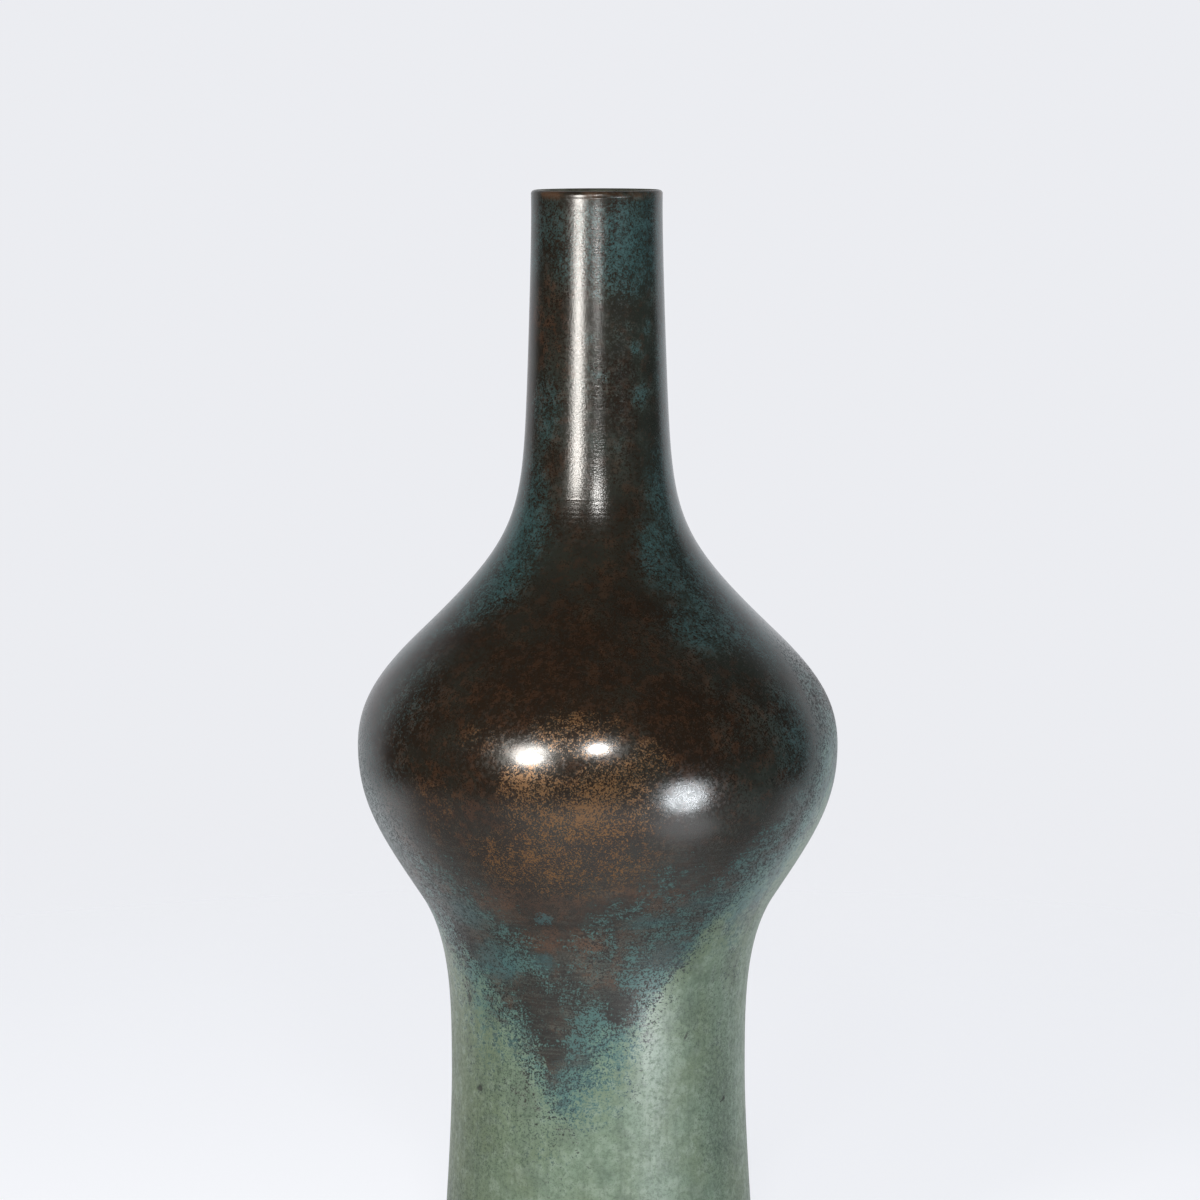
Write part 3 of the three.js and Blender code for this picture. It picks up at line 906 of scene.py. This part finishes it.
def makeFloor():
    bpy.ops.mesh.primitive_circle_add(vertices=floorLook["sides"], radius=floorLook["radius"],
                                      fill_type="TRIFAN")
    floor = bpy.context.object
    floor.name = "floor"
    floor.location.z = -floorLook["drop"]
    material, tree, shader = newMaterial("pale floor")
    shader.inputs["Base Color"].default_value = floorLook["tone"]
    shader.inputs["Roughness"].default_value = floorLook["roughness"]
    shader.inputs["Specular IOR Level"].default_value = floorLook["shine"]
    shader.inputs["Emission Color"].default_value = paleTone
    coords = tree.nodes.new("ShaderNodeTexCoord").outputs["Object"]
    apart = tree.nodes.new("ShaderNodeSeparateXYZ")
    tree.links.new(coords, apart.inputs[0])
    # the lamps already light the floor in front, so it glows less there
    fromLit = vectorCalc(tree, "DISTANCE", coords, floorLook["lampLit"])
    glow = smooth(tree, fromLit, *floorLook["litReach"], *floorLook["glow"])
    seen = calc(tree, "MULTIPLY", pathMask(tree, ("Is Camera Ray", "Is Transmission Ray")), glow)
    mirrored = smooth(tree, apart.outputs[1], *floorLook["mirroredReach"], *floorLook["mirrored"])
    for place, reach, poolGlow in floorPools:
        fromPool = vectorCalc(tree, "DISTANCE", coords, place)
        mirrored = calc(tree, "MAXIMUM", mirrored, smooth(tree, fromPool, *reach, poolGlow, 0))
    mirrored = calc(tree, "MULTIPLY", pathMask(tree, ("Is Glossy Ray",)), mirrored)
    tree.links.new(calc(tree, "MAXIMUM", seen, mirrored), shader.inputs["Emission Strength"])
    # the rim of the floor fades out, and from below it is clear, so that the foot can be looked at
    away = vectorCalc(tree, "DISTANCE", coords, (0, 0, 0))
    below = tree.nodes.new("ShaderNodeNewGeometry").outputs["Backfacing"]
    opaque = calc(tree, "SUBTRACT", smooth(tree, away, *floorLook["rimFade"], 1, 0), below)
    tree.links.new(calc(tree, "MAXIMUM", opaque, 0), shader.inputs["Alpha"])
    floor.data.materials.append(material)
    floor.visible_shadow = False


# Brightness of the world at both ends of each reach, which is counted across, up or back in the direction
# that a ray goes.
worldLook = {"across": (1.0, 1.5), "acrossReach": (-0.9, 0.9), "overhead": (1, 0.3),
             "overheadReach": (0.1, 0.6), "mirrored": (0.03, 0.7), "mirroredReach": (0.4, 0.68),
             "fill": (0.06, 1.05), "fillReach": (-0.1, 0.3)}


def makeWorld():
    world = bpy.data.worlds.new("studio")
    scene.world = world
    world.use_nodes = True
    tree = world.node_tree
    direction = tree.nodes.new("ShaderNodeTexCoord").outputs["Generated"]
    apart = tree.nodes.new("ShaderNodeSeparateXYZ")
    tree.links.new(direction, apart.inputs[0])
    across = smooth(tree, apart.outputs[0], *worldLook["acrossReach"], *worldLook["across"])
    overhead = smooth(tree, apart.outputs[2], *worldLook["overheadReach"], *worldLook["overhead"])
    backdrop = smooth(tree, apart.outputs[1], *worldLook["mirroredReach"], *worldLook["mirrored"])
    backdrop = calc(tree, "MULTIPLY", calc(tree, "MULTIPLY", backdrop, across), overhead)
    reflected = calc(tree, "MULTIPLY", pathMask(tree, ("Is Glossy Ray",)), backdrop)
    seen = calc(tree, "MAXIMUM", reflected, pathMask(tree, ("Is Camera Ray", "Is Transmission Ray")))
    fill = smooth(tree, apart.outputs[1], *worldLook["fillReach"], *worldLook["fill"])
    fill = calc(tree, "MULTIPLY", fill, across)
    fill = calc(tree, "MULTIPLY", pathMask(tree, ("Is Diffuse Ray",)), fill)
    background = tree.nodes["Background"]
    background.inputs["Color"].default_value = paleTone
    tree.links.new(calc(tree, "MAXIMUM", seen, fill), background.inputs["Strength"])


# azimuth in degrees from the front, tilt in degrees of the face from upright towards the ceiling. glint
# is light that only shows in reflections. The last lamp stands in for light thrown up from below, so it
# lies below the floor.
lamps = {
    "key": {"azimuth": -30.7, "distance": 0.36, "height": 0.238, "tilt": -12, "size": (0.09, 0.11),
            "power": 0.8, "glint": 1, "colour": (1, 0.96, 0.9)},
    "flash": {"azimuth": 0.4, "distance": 0.42, "height": 0.32, "tilt": -25, "size": (0.055, 0.065),
              "power": 0.6, "glint": 0.3, "colour": (1, 0.98, 0.95)},
    "low": {"azimuth": 42, "distance": 1.5, "height": -0.354, "tilt": 18, "size": (0.55, 0.41),
            "power": 7, "glint": 6.5, "colour": (0.91, 0.96, 1)},
}


def addLamp(name, lamp, power):
    data = bpy.data.lights.new(name, "AREA")
    data.shape = "ELLIPSE"
    data.size, data.size_y = lamp["size"]
    data.energy = power
    data.color = lamp["colour"]
    light = bpy.data.objects.new(name, data)
    turn = math.radians(lamp["azimuth"])
    light.location = (lamp["distance"] * math.sin(turn), -lamp["distance"] * math.cos(turn), lamp["height"])
    light.rotation_euler = (math.radians(90 + lamp["tilt"]), 0, turn)
    light.visible_camera = False
    # a lamp below the floor lights through it, but bounced rays would stop at the floor
    data.cycles.use_multiple_importance_sampling = lamp["height"] > 0
    scene.collection.objects.link(light)
    return light


def makeLamps():
    for name, lamp in lamps.items():
        addLamp(name, lamp, lamp["power"])
        addLamp(name + "Glint", lamp, lamp["glint"]).visible_diffuse = False


makeFloor()
makeWorld()
makeLamps()
print("stage made")

# Camera: a long lens a little above the mouth, looking slightly down.
view = {"distance": 0.9, "height": 0.295, "side": 0.00059, "pitch": 7.5637, "roll": -0.09, "lens": 113.98,
        "sensor": 36, "clipStart": 0.05}


def makeCamera():
    data = bpy.data.cameras.new("camera")
    data.lens = view["lens"]
    data.sensor_width = view["sensor"]
    data.clip_start = view["clipStart"]
    camera = bpy.data.objects.new("camera", data)
    camera.location = (view["side"], -view["distance"], view["height"])
    level = Euler((math.radians(90 - view["pitch"]), 0, 0)).to_quaternion()
    camera.rotation_mode = "QUATERNION"
    camera.rotation_quaternion = level @ Euler((0, 0, math.radians(view["roll"]))).to_quaternion()
    scene.collection.objects.link(camera)
    scene.camera = camera


makeCamera()
print("camera set")
